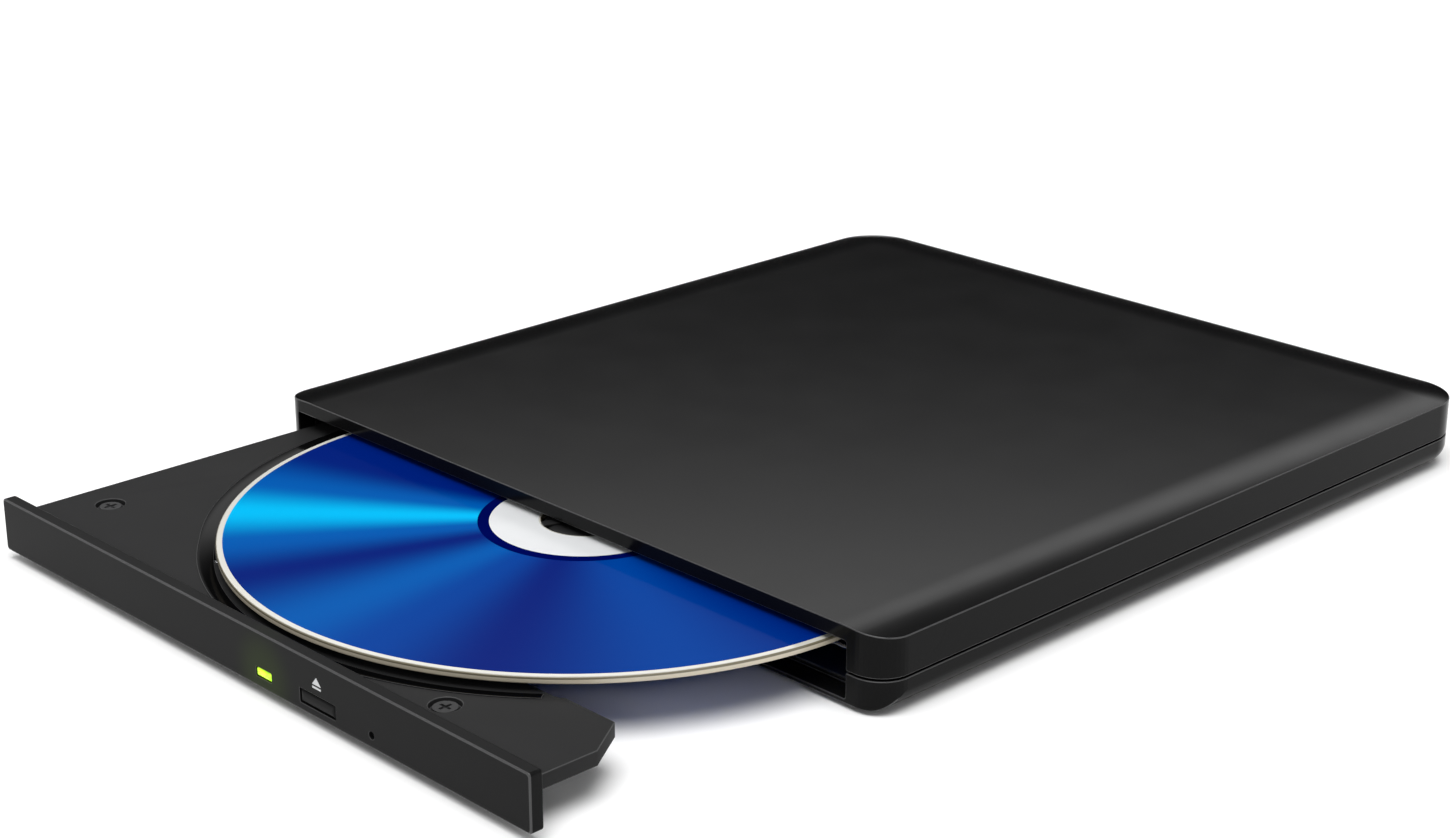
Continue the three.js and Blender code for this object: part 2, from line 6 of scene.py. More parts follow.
import bmesh
import bpy
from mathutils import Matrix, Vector


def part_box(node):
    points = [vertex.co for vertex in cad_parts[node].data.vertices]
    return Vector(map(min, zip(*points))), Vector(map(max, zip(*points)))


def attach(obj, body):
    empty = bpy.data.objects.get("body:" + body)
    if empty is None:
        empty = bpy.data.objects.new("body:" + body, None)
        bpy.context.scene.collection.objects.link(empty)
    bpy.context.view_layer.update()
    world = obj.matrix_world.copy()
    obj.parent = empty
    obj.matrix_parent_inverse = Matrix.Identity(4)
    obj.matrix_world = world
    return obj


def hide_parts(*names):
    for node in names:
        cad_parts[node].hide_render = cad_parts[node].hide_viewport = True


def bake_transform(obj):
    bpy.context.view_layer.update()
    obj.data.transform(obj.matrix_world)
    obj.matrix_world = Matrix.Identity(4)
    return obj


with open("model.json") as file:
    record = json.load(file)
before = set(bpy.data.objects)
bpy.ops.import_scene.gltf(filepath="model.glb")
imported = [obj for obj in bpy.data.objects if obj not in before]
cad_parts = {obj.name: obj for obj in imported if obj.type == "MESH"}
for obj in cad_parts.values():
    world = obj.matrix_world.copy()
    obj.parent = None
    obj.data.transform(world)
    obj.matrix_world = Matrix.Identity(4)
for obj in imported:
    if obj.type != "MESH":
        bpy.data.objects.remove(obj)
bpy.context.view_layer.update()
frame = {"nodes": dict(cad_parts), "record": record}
MM = 0.001

# ---- Places read from the frame ----

UPPER_LOW, UPPER_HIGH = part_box("upper_shell")
BEZEL_LOW, BEZEL_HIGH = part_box("front_bezel")
DISC_LOW, DISC_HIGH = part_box("optical_disc")
BUTTON_LOW, BUTTON_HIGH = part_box("eject_button")
WINDOW_LOW, WINDOW_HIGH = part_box("status_window")
SOCKET_LOW, SOCKET_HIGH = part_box("usb_socket_shell")

HALF = UPPER_HIGH.x
FRONT = UPPER_LOW.y
REAR = UPPER_HIGH.y
TOP = UPPER_HIGH.z
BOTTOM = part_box("lower_shell")[0].z
TRAY_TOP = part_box("tray_frame")[1].z
DISC_X = (DISC_LOW.x + DISC_HIGH.x) / 2
DISC_Y = (DISC_LOW.y + DISC_HIGH.y) / 2

# The housing's own figures, the same as in the CAD source.
# CROWN is how far the lid's edges roll down, and BAND how far in the roll starts.
CROWN = 0.8 * MM
BAND = 9.45 * MM
EDGE_TOP = TOP - CROWN
SEAM_LOW = 5.75 * MM
SEAM_HIGH = 6.15 * MM
FRONT_RADIUS = 5.5 * MM
REAR_RADIUS = 9.5 * MM
WALL = 2 * MM
CEILING = 11.4 * MM
FLOOR_TOP = 1.9 * MM
MOUTH_LEFT, MOUTH_RIGHT = -69.7 * MM, 67.1 * MM
MOUTH_LOW, MOUTH_HIGH = 1.5 * MM, 10.9 * MM
MOUTH_FRAME = 3.2 * MM
FOOT_X = 60 * MM
FOOT_FRONT = FRONT + 12 * MM
FOOT_REAR = FRONT + 145 * MM
FOOT_RADIUS = 4 * MM
BOARD_POST_X = (-48 * MM, 8 * MM)
BOARD_POST_Y = FRONT + 150 * MM
RECESS_TOP, RECESS_BOTTOM = 62.8 * MM, 61 * MM
RECESS_FLOOR = 7.3 * MM
PINHOLE_X, PINHOLE_Z, PINHOLE_RADIUS = 31.7 * MM, 3.7 * MM, 0.65 * MM
DISC_RADIUS = 60 * MM
BORE_RADIUS = 7.5 * MM

# How far a printed mark stands in front of the bezel, which is set back by as much.
INK = 0.03 * MM

# The camera, fitted to the photo: angles in degrees, distance in metres, lens in millimetres.
CAMERA_AZIMUTH = 46.08
CAMERA_ELEVATION = 20.12
CAMERA_DISTANCE = 0.4824
CAMERA_TARGET = Vector((-0.01515, 0.00613, 0.00995))
CAMERA_LENS = 66.33


# ---- Camera, light and floor ----

def make_camera():
    azimuth, elevation = math.radians(CAMERA_AZIMUTH), math.radians(CAMERA_ELEVATION)
    back = Vector((
        math.sin(azimuth) * math.cos(elevation),
        -math.cos(azimuth) * math.cos(elevation),
        math.sin(elevation),
    ))
    data = bpy.data.cameras.new("camera")
    data.sensor_width = 36
    data.lens = CAMERA_LENS
    data.clip_start = 0.01
    data.clip_end = 20
    camera = bpy.data.objects.new("camera", data)
    camera.location = CAMERA_TARGET + back * CAMERA_DISTANCE
    camera.rotation_mode = "QUATERNION"
    camera.rotation_quaternion = (-back).to_track_quat("-Z", "Y")
    bpy.context.scene.collection.objects.link(camera)
    bpy.context.scene.camera = camera


def area_light(name, place, aim, size, power):
    data = bpy.data.lights.new(name, "AREA")
    data.shape = "RECTANGLE"
    data.size, data.size_y = size
    data.energy = power
    light = bpy.data.objects.new(name, data)
    light.location = place
    light.rotation_mode = "QUATERNION"
    light.rotation_quaternion = (Vector(aim) - Vector(place)).to_track_quat("-Z", "Y")
    bpy.context.scene.collection.objects.link(light)


def make_world():
    """A studio dome: dark low down, a bright belt above it and dim overhead. The camera sees it pale."""
    world = bpy.data.worlds.new("studio")
    bpy.context.scene.world = world
    world.use_nodes = True
    nodes, links = world.node_tree.nodes, world.node_tree.links
    nodes.clear()
    place = nodes.new("ShaderNodeTexCoord")
    split = nodes.new("ShaderNodeSeparateXYZ")
    links.new(place.outputs["Generated"], split.inputs[0])
    ramp = nodes.new("ShaderNodeValToRGB")
    ramp.color_ramp.interpolation = "EASE"
    stops = [
        (0.0, 0.0), (0.31, 0.0), (0.345, 0.05), (0.38, 0.28), (0.42, 0.8), (0.45, 1.0), (0.48, 1.0),
        (0.52, 0.08), (0.6, 0.03), (1.0, 0.12),
    ]
    elements = ramp.color_ramp.elements
    while len(elements) < len(stops):
        elements.new(0.5)
    for element, (position, value) in zip(elements, stops):
        element.position = position
        element.color = (value, value, value, 1)
    links.new(split.outputs["Z"], ramp.inputs["Fac"])
    background = nodes.new("ShaderNodeBackground")
    background.inputs["Strength"].default_value = 2.6
    links.new(ramp.outputs["Color"], background.inputs["Color"])
    paper = nodes.new("ShaderNodeBackground")
    paper.inputs["Color"].default_value = (0.95, 0.95, 0.95, 1)
    mix = nodes.new("ShaderNodeMixShader")
    links.new(nodes.new("ShaderNodeLightPath").outputs["Is Camera Ray"], mix.inputs["Fac"])
    links.new(background.outputs[0], mix.inputs[1])
    links.new(paper.outputs[0], mix.inputs[2])
    output = nodes.new("ShaderNodeOutputWorld")
    links.new(mix.outputs[0], output.inputs["Surface"])


def make_stage():
    make_world()
    sky = bpy.data.lights.new("sky", "SUN")
    sky.energy = 2.0
    sky.angle = math.radians(50)
    lamp = bpy.data.objects.new("sky", sky)
    lamp.rotation_mode = "QUATERNION"
    lamp.rotation_quaternion = Vector((-0.15, 0.2, -1)).to_track_quat("-Z", "Y")
    bpy.context.scene.collection.objects.link(lamp)
    area_light("key", (0.25, -0.2, 1.5), (0, 0, 0), (1.5, 1.5), 10)
    area_light("fill", (-0.9, -0.9, 0.9), (0, -0.05, 0), (0.9, 0.9), 1)
    mesh = bpy.data.meshes.new("floor")
    reach = 6
    corners = [(-reach, -reach, 0), (reach, -reach, 0), (reach, reach, 0), (-reach, reach, 0)]
    mesh.from_pydata(corners, [], [(0, 1, 2, 3)])
    floor = bpy.data.objects.new("floor", mesh)
    bpy.context.scene.collection.objects.link(floor)
    floor.data.materials.append(floor_material())
    bpy.context.scene.view_settings.view_transform = "Standard"


# ---- Materials ----

class Shader:
    """A node material under construction: one Principled shader and what feeds it."""

    def __init__(self, name):
        self.material = bpy.data.materials.new(name)
        self.material.use_nodes = True
        self.nodes = self.material.node_tree.nodes
        self.links = self.material.node_tree.links
        self.principled = self.nodes["Principled BSDF"]
        self.place = self.nodes.new("ShaderNodeTexCoord").outputs["Object"]

    def set(self, **values):
        for key, value in values.items():
            self.principled.inputs[key.replace("_", " ")].default_value = value
        return self

    def noise(self, scale, detail=2.0, stretch=(1, 1, 1)):
        mapping = self.nodes.new("ShaderNodeMapping")
        mapping.inputs["Scale"].default_value = stretch
        self.links.new(self.place, mapping.inputs["Vector"])
        noise = self.nodes.new("ShaderNodeTexNoise")
        noise.inputs["Scale"].default_value = scale
        noise.inputs["Detail"].default_value = detail
        self.links.new(mapping.outputs[0], noise.inputs["Vector"])
        return noise.outputs["Fac"]

    def span(self, value, low, high, start=0.0, end=1.0):
        node = self.nodes.new("ShaderNodeMapRange")
        node.inputs["From Min"].default_value = start
        node.inputs["From Max"].default_value = end
        node.inputs["To Min"].default_value = low
        node.inputs["To Max"].default_value = high
        self.links.new(value, node.inputs["Value"])
        return node.outputs["Result"]

    def ramp(self, value, stops, interpolation="LINEAR"):
        node = self.nodes.new("ShaderNodeValToRGB")
        node.color_ramp.interpolation = interpolation
        elements = node.color_ramp.elements
        while len(elements) < len(stops):
            elements.new(0.5)
        for element, (position, color) in zip(elements, stops):
            element.position = position
            element.color = (*color, 1)
        self.links.new(value, node.inputs["Fac"])
        return node.outputs["Color"]

    def math(self, operation, a, b=None):
        node = self.nodes.new("ShaderNodeMath")
        node.operation = operation
        for socket, value in zip(node.inputs, (a, b)):
            if isinstance(value, (int, float)):
                socket.default_value = value
            elif value is not None:
                self.links.new(value, socket)
        return node.outputs[0]

    def bump(self, height, strength, distance):
        node = self.nodes.new("ShaderNodeBump")
        node.inputs["Strength"].default_value = strength
        node.inputs["Distance"].default_value = distance
        self.links.new(height, node.inputs["Height"])
        self.links.new(node.outputs[0], self.principled.inputs["Normal"])
        return self

    def feed(self, name, value):
        self.links.new(value, self.principled.inputs[name])
        return self


def plastic(name, color, roughness, grain, depth, specular=0.3):
    """Moulded plastic: fine spark-eroded grain, slight handling marks in the gloss."""
    s = Shader(name)
    s.set(Specular_IOR_Level=specular)
    cloud = s.noise(60, 3)
    light = tuple(c * 1.06 for c in color)
    dark = tuple(c * 0.94 for c in color)
    s.feed("Base Color", s.ramp(cloud, [(0.3, dark), (0.7, light)]))
    s.feed("Roughness", s.span(s.noise(90, 3), roughness - 0.01, roughness + 0.01, 0.3, 0.7))
    s.bump(s.noise(grain, 2), 0.35, depth)
    return s.material


def metal(name, color, roughness, stretch=(1, 1, 1)):
    """Sheet or bar metal, its fine brush drawn out across the axis with the larger stretch."""
    s = Shader(name)
    s.set(Metallic=1.0)
    brush = s.noise(900, 2, stretch)
    s.feed("Base Color", s.ramp(brush, [(0.3, tuple(c * 0.88 for c in color)), (0.7, color)]))
    s.feed("Roughness", s.span(brush, roughness - 0.06, roughness + 0.08, 0.3, 0.7))
    s.bump(brush, 0.2, 0.00001)
    return s.material


def floor_material():
    s = Shader("floor_paper")
    s.set(Roughness=0.9, Specular_IOR_Level=0.1)
    s.feed("Base Color", s.ramp(s.noise(3, 2), [(0.3, (0.93, 0.93, 0.93)), (0.7, (0.95, 0.95, 0.95))]))
    return s.material


def disc_blue_painted_reflections():
    """The recording layer: its blue, with painted reflection streaks of deep blue, blue and cyan as rays
    round the hub, and a fine ring pattern.
    """
    s = Shader("disc_blue_painted_reflections")
    s.set(Specular_IOR_Level=0.0, Coat_Weight=0.04, Coat_Roughness=0.1)
    split = s.nodes.new("ShaderNodeSeparateXYZ")
    s.links.new(s.place, split.inputs[0])
    across = s.math("SUBTRACT", split.outputs["X"], DISC_X)
    along = s.math("SUBTRACT", split.outputs["Y"], DISC_Y)
    turn = s.span(s.math("ARCTAN2", along, across), 0, 1, -math.pi, math.pi)
    # The rays by angle are painted reflections. The bright blue and cyan streaks stand for light that the
    # disc's face reflects, and they turn with the disc.
    deep, blue, bright, cyan_reflection = (0, 0.011, 0.15), (0, 0.042, 0.26), (0, 0.08, 0.34), (0, 0.4, 0.72)
    stops = [
        (0.0, deep), (0.045, deep), (0.085, bright), (0.12, cyan_reflection), (0.155, bright), (0.195, deep),
        (0.25, bright), (0.29, blue), (0.345, deep), (0.425, blue), (0.5, deep), (0.58, blue),
        (0.62, cyan_reflection), (0.66, blue), (0.7, deep), (0.75, bright), (0.85, deep), (0.92, blue), (1.0, deep),
    ]
    s.feed("Base Color", s.ramp(turn, stops, "EASE"))
    radius = s.math("SQRT", s.math("ADD", s.math("POWER", across, 2), s.math("POWER", along, 2)))
    radians_per_metre = 9000
    rings = s.math("SINE", s.math("MULTIPLY", radius, radians_per_metre))
    s.feed("Roughness", s.span(rings, 0.2, 0.26, -1, 1))
    s.bump(rings, 0.04, 0.00001)
    return s.material


def clear_plastic():
    """The disc's polycarbonate at its rim: white on top, cream down the edge and a brown line between."""
    s = Shader("disc_polycarbonate")
    s.set(Specular_IOR_Level=0.5, Coat_Weight=0.3, Coat_Roughness=0.1)
    split = s.nodes.new("ShaderNodeSeparateXYZ")
    s.links.new(s.place, split.inputs[0])
    height = s.span(split.outputs["Z"], 0, 1, DISC_LOW.z, DISC_HIGH.z)
    cream, brown, white = (0.6, 0.54, 0.42), (0.17, 0.15, 0.1), (0.56, 0.55, 0.5)
    stops = [(0.0, cream), (0.62, cream), (0.68, brown), (0.95, brown), (0.99, white), (1.0, white)]
    s.feed("Base Color", s.ramp(height, stops))
    s.feed("Roughness", s.span(s.noise(500), 0.14, 0.22, 0.3, 0.7))
    return s.material


def hub_white():
    s = Shader("disc_hub_print")
    s.set(Specular_IOR_Level=0.5)
    s.feed("Base Color", s.ramp(s.noise(120), [(0.3, (0.64, 0.65, 0.66)), (0.7, (0.67, 0.68, 0.69))]))
    s.feed("Roughness", s.span(s.noise(400), 0.3, 0.34, 0.3, 0.7))
    return s.material


def status_glow():
    """The lit light pipe, in a slightly cloudy yellow green."""
    s = Shader("status_glow")
    s.set(Roughness=0.25)
    cloud = s.noise(700)
    color = s.ramp(cloud, [(0.3, (0.36, 0.78, 0.01)), (0.7, (0.62, 0.95, 0.03))])
    s.feed("Base Color", color)
    s.feed("Emission Color", color)
    s.set(Emission_Strength=0.9)
    return s.material


def lit_bezel():
    """Bezel plastic with the faint spill of the status light round its window."""
    material = plastic("bezel_black", (0.007, 0.007, 0.0071), 0.36, 5200, 0.000004, 0.06)
    nodes, links = material.node_tree.nodes, material.node_tree.links
    distance = nodes.new("ShaderNodeVectorMath")
    distance.operation = "DISTANCE"
    links.new(nodes["Texture Coordinate"].outputs["Object"], distance.inputs[0])
    distance.inputs[1].default_value = (WINDOW_LOW + WINDOW_HIGH) / 2
    near, far, strongest = 1.5 * MM, 9 * MM, 0.022
    fall = nodes.new("ShaderNodeMapRange")
    fall.interpolation_type = "SMOOTHERSTEP"
    fall.inputs["From Min"].default_value = near
    fall.inputs["From Max"].default_value = far
    fall.inputs["To Min"].default_value = strongest
    fall.inputs["To Max"].default_value = 0
    links.new(distance.outputs["Value"], fall.inputs["Value"])
    principled = nodes["Principled BSDF"]
    principled.inputs["Emission Color"].default_value = (0.45, 0.8, 0.02, 1)
    links.new(fall.outputs["Result"], principled.inputs["Emission Strength"])
    return material


def circuit_board():
    s = Shader("circuit_board")
    s.set(Specular_IOR_Level=0.5, Roughness=0.35)
    brick = s.nodes.new("ShaderNodeTexBrick")
    brick.inputs["Scale"].default_value = 260
    brick.inputs["Color1"].default_value = (0.01, 0.09, 0.04, 1)
    brick.inputs["Color2"].default_value = (0.015, 0.12, 0.05, 1)
    brick.inputs["Mortar"].default_value = (0.03, 0.2, 0.08, 1)
    s.links.new(s.place, brick.inputs["Vector"])
    s.feed("Base Color", brick.outputs["Color"])
    s.bump(brick.outputs["Fac"], 0.2, 0.00002)
    return s.material


def flex():
    """White ribbon film with its row of conductors showing through, one a millimetre."""
    s = Shader("ribbon_film")
    split = s.nodes.new("ShaderNodeSeparateXYZ")
    s.links.new(s.place, split.inputs[0])
    radians_per_metre = 6283
    lines = s.math("SINE", s.math("MULTIPLY", split.outputs["X"], radians_per_metre))
    film, conductor = (0.62, 0.62, 0.58), (0.34, 0.36, 0.37)
    s.feed("Base Color", s.ramp(s.span(lines, 0, 1, -1, 1), [(0.35, film), (0.65, conductor)]))
    s.feed("Roughness", s.span(lines, 0.45, 0.3, -1, 1))
    return s.material


def lens_glass():
    s = Shader("lens_glass")
    s.set(Transmission_Weight=0.9, IOR=1.52)
    s.feed("Base Color", s.ramp(s.noise(500), [(0.3, (0.6, 0.75, 0.9)), (0.7, (0.75, 0.88, 0.98))]))
    s.feed("Roughness", s.span(s.noise(900), 0.02, 0.05, 0.3, 0.7))
    return s.material


MATERIALS = {
    "shell": plastic("shell_black", (0.005, 0.005, 0.0051), 0.15, 5200, 0.000001, 0.07),
    "tray": plastic("tray_black", (0.021, 0.021, 0.0213), 0.5, 4200, 0.00001, 0.06),
    "bezel": lit_bezel(),
    "gloss": plastic("recess_gloss_black", (0.002, 0.002, 0.0021), 0.1, 1500, 0.0000005, 0.025),
    # Lighter copies of the shell, bezel and tray plastics for their rounded edges: painted highlight lines.
    "shell_edge_highlight": plastic("shell_edge_highlight", (0.05, 0.05, 0.051), 0.3, 2500, 0.000002, 0.4),
    "bezel_edge_highlight": plastic("bezel_edge_highlight", (0.05, 0.05, 0.051), 0.35, 2500, 0.000002, 0.4),
    "tray_edge_highlight": plastic("tray_edge_highlight", (0.055, 0.055, 0.056), 0.4, 2500, 0.000002, 0.3),
    "rubber": plastic("rubber", (0.016, 0.016, 0.016), 0.8, 1800, 0.00004, 0.2),
    "screw": plastic("black_oxide", (0.02, 0.02, 0.021), 0.4, 3000, 0.00001, 0.3),
    "black_part": plastic("black_part", (0.01, 0.01, 0.0105), 0.5, 2500, 0.00002),
    "white_part": plastic("white_film", (0.6, 0.6, 0.56), 0.5, 2500, 0.00001),
    "sheet_steel": metal("sheet_steel", (0.3, 0.305, 0.31), 0.36, (1, 14, 1)),
    "bright_steel": metal("bright_steel", (0.5, 0.51, 0.52), 0.25, (1, 20, 1)),
    "zinc": metal("die_cast_zinc", (0.42, 0.43, 0.44), 0.42),
    "brass": metal("wound_copper", (0.6, 0.34, 0.14), 0.35, (1, 1, 30)),
    "circuit_board": circuit_board(),
    "status_light": status_glow(),
    "lens": lens_glass(),
    "flex": flex(),
    "disc": disc_blue_painted_reflections(),
    "disc_plastic": clear_plastic(),
    "disc_hub": hub_white(),
    "navy": plastic("mirror_band_navy", (0.0, 0.002, 0.07), 0.3, 2500, 0.000001, 0.0),
    "print": plastic("printed_mark", (0.62, 0.63, 0.64), 0.45, 2500, 0.000004),
}


# ---- Mesh helpers ----

def to_object(name, mesh_builder, material, smooth=True):
    """Turns a bmesh into a named, smooth-shaded object."""
    bmesh.ops.recalc_face_normals(mesh_builder, faces=mesh_builder.faces)
    mesh = bpy.data.meshes.new(name)
    mesh_builder.to_mesh(mesh)
    mesh_builder.free()
    made = bpy.data.objects.new(name, mesh)
    bpy.context.scene.collection.objects.link(made)
    mesh.materials.append(MATERIALS[material])
    for face in mesh.polygons:
        face.use_smooth = smooth
    return made


def loft(rings, edge_rows=()):
    """A closed body through rings of equal length, both ends capped. Edge rows take the second material."""
    made = bmesh.new()
    rows = [[made.verts.new(point) for point in ring] for ring in rings]
    count = len(rows[0])
    for row, (low, high) in enumerate(zip(rows, rows[1:])):
        for i in range(count):
            j = (i + 1) % count
            face = made.faces.new((low[i], low[j], high[j], high[i]))
            face.material_index = 1 if row in edge_rows else 0
    made.faces.new(list(reversed(rows[0])))
    made.faces.new(rows[-1])
    bmesh.ops.remove_doubles(made, verts=made.verts, dist=1e-7)
    bmesh.ops.dissolve_degenerate(made, edges=made.edges, dist=1e-7)
    return made


def arc(cx, cy, radius, start, end, steps):
    """Points on an arc, its two ends included; angles in degrees."""
    angles = [math.radians(start + (end - start) * k / steps) for k in range(steps + 1)]
    return [(cx + radius * math.cos(a), cy + radius * math.sin(a)) for a in angles]


def rounded(x0, x1, y0, y1, radius, steps):
    """A rectangle with round corners, as a list of points."""
    r = radius
    return (
        arc(x1 - r, y0 + r, r, -90, 0, steps) + arc(x1 - r, y1 - r, r, 0, 90, steps)
        + arc(x0 + r, y1 - r, r, 90, 180, steps) + arc(x0 + r, y0 + r, r, 180, 270, steps)
    )


def prism(outline, z0, z1):
    return loft([[(x, y, z0) for x, y in outline], [(x, y, z1) for x, y in outline]])


def turned(profile, centre, steps):
    """A closed ring or disc of revolution about Z from a closed list of (radius, height)."""
    made = bmesh.new()
    rows = []
    for k in range(steps):
        a = 2 * math.pi * k / steps
        rows.append([
            made.verts.new((centre[0] + r * math.cos(a), centre[1] + r * math.sin(a), z)) for r, z in profile
        ])
    for k in range(steps):
        here, there = rows[k], rows[(k + 1) % steps]
        for i in range(len(profile)):
            j = (i + 1) % len(profile)
            made.faces.new((here[i], there[i], there[j], here[j]))
    bmesh.ops.remove_doubles(made, verts=made.verts, dist=1e-8)
    return made


def modifier(made, kind, **values):
    added = made.modifiers.new(kind.lower(), kind)
    for key, value in values.items():
        setattr(added, key, value)
    return added


def cut(made, cutters, operation="DIFFERENCE"):
    """Applies a boolean with each cutter, and removes the cutters."""
    for cutter in cutters:
        modifier(made, "BOOLEAN", object=cutter, operation=operation, solver="EXACT")
    bake(made)
    for cutter in cutters:
        bpy.data.objects.remove(cutter)


def bake(made):
    """Replaces an object's mesh by its mesh with all modifiers applied."""
    graph = bpy.context.evaluated_depsgraph_get()
    mesh = bpy.data.meshes.new_from_object(made.evaluated_get(graph), depsgraph=graph)
    made.modifiers.clear()
    made.data = mesh


def soften(made, width, angle=35, segments=2, edge=None):
    """Small rounded edges, with even shading on the flats. An edge material, if named, goes on them: a
    lighter copy of the plastic that paints a highlight line there.
    """
    if edge:
        while len(made.data.materials) < 2:
            made.data.materials.append(None)
        made.data.materials[1] = MATERIALS[edge]
    modifier(
        made, "BEVEL", width=width, segments=segments, limit_method="ANGLE", angle_limit=math.radians(angle),
        use_clamp_overlap=not edge, harden_normals=True, material=1 if edge else -1,
    )
    modifier(made, "WEIGHTED_NORMAL", keep_sharp=True, weight=80)


def cutter(mesh_builder):
    return to_object("cutter", mesh_builder, "shell", smooth=False)


def box_mesh(x0, x1, y0, y1, z0, z1):
    return prism([(x0, y0), (x1, y0), (x1, y1), (x0, y1)], z0, z1)


# ---- Housing shells ----

def housing_ring(inset, z):
    """The housing's outline at an inset. Sides and rear move in; the front stays in its plane."""
    steps = 14
    rear = max(REAR_RADIUS - inset, 0.02 * MM)
    side, back = HALF - inset, REAR - inset
    right = arc(side - rear, back - rear, rear, 0, 90, steps)
    left = [(-x, y) for x, y in reversed(right)]
    return [(x, y, z) for x, y in [(side, FRONT)] + right + left + [(-side, FRONT)]]


def slab(levels):
    """A closed body through housing outlines, its front strips joined into one flat face."""
    made = loft([housing_ring(inset, z) for inset, z in levels])
    flat = [f for f in made.faces if all(abs(v.co.y - FRONT) < 1e-7 for v in f.verts)]
    bmesh.ops.dissolve_faces(made, faces=flat, use_verts=True)
    return made


def corner_cutters():
    """Upright cutters that round the two front corners in plan."""
    r = FRONT_RADIUS
    outline = arc(HALF - r, FRONT + r, r, -90, 0, 12)
    outline += [(HALF + MM, FRONT + r), (HALF + MM, FRONT - MM), (HALF - r, FRONT - MM)]
    mirrored = [(-x, y) for x, y in reversed(outline)]
    return [cutter(prism(plan, -MM, 20 * MM)) for plan in (outline, mirrored)]


def upper_rings():
    """Insets and heights of the lid, from its seam over the rolled edge to the flat top."""
    rings = [(0, SEAM_HIGH), (0, EDGE_TOP)]
    steps = 16
    for k in range(1, steps + 1):
        t = k / steps
        rings.append((BAND * t, EDGE_TOP + CROWN * (1 - (1 - t) ** 2.2)))
    return rings


def lower_rings():
    """Insets and heights of the base, from its underside round a quarter curve to the seam."""
    band, rise = 3.4 * MM, 3.2 * MM
    rings = []
    steps = 10
    for k in range(steps + 1):
        a = math.radians(90 * k / steps)
        rings.append((band * (1 - math.sin(a)), BOTTOM + rise * (1 - math.cos(a))))
    rings.append((0, SEAM_LOW))
    return rings


def mouth_cutter():
    outline = rounded(MOUTH_LEFT, MOUTH_RIGHT, MOUTH_LOW, MOUTH_HIGH, 0.5 * MM, 4)
    rings = [[(x, y, z) for x, z in outline] for y in (FRONT - MM, FRONT + MOUTH_FRAME + MM)]
    return cutter(loft(rings))


def inner_cutter(inset, front, z0, z1):
    """An upright body parallel to the housing's walls, from a given front plane back."""
    side, back = HALF - inset, REAR - inset
    near, far = max(FRONT_RADIUS - (front - FRONT), MM), REAR_RADIUS - inset
    right = arc(side - near, front + near, near, -90, 0, 8) + arc(side - far, back - far, far, 0, 90, 12)
    return cutter(prism(right + [(-x, y) for x, y in reversed(right)], z0, z1))


def socket_cutter():
    gap = 0.3 * MM
    x0, x1 = SOCKET_LOW.x - gap, SOCKET_HIGH.x + gap
    z0, z1 = SOCKET_LOW.z - gap, SOCKET_HIGH.z + gap
    outline = rounded(x0, x1, z0, z1, (z1 - z0) / 2 - 0.02 * MM, 8)
    rings = [[(x, y, z) for x, z in outline] for y in (REAR - 2 * WALL, REAR + MM)]
    return cutter(loft(rings))


def drum_mesh(x, y, z0, z1, radius, steps=48):
    """An upright round prism."""
    return prism(arc(x, y, radius, 0, 360 - 360 / steps, steps - 1), z0, z1)


def make_upper_shell():
    """The lid: hollow, open at the mouth and the socket, with a screw boss over each rear foot."""
    shell = to_object("upper_case", slab(upper_rings()), "shell")
    cut(shell, corner_cutters())
    cut(shell, [
        inner_cutter(WALL, FRONT + MOUTH_FRAME, SEAM_HIGH - MM, CEILING),
        inner_cutter(1.05 * MM, FRONT + 1.05 * MM, SEAM_HIGH - MM, SEAM_LOW + 1.4 * MM),
        mouth_cutter(),
        socket_cutter(),
    ])
    for side in (-1, 1):
        boss = drum_mesh(side * FOOT_X, FOOT_REAR, 3.2 * MM, CEILING + 0.3 * MM, 3.2 * MM)
        screw_hole = drum_mesh(side * FOOT_X, FOOT_REAR, 3 * MM, 9 * MM, 0.98 * MM, 24)
        cut(shell, [cutter(boss)], "UNION")
        cut(shell, [cutter(screw_hole)])
    # The rounded edges take the lighter edge material, a painted highlight line.
    soften(shell, 0.16 * MM, edge="shell_edge_highlight")
    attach(shell, "housing")
    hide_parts("upper_shell")


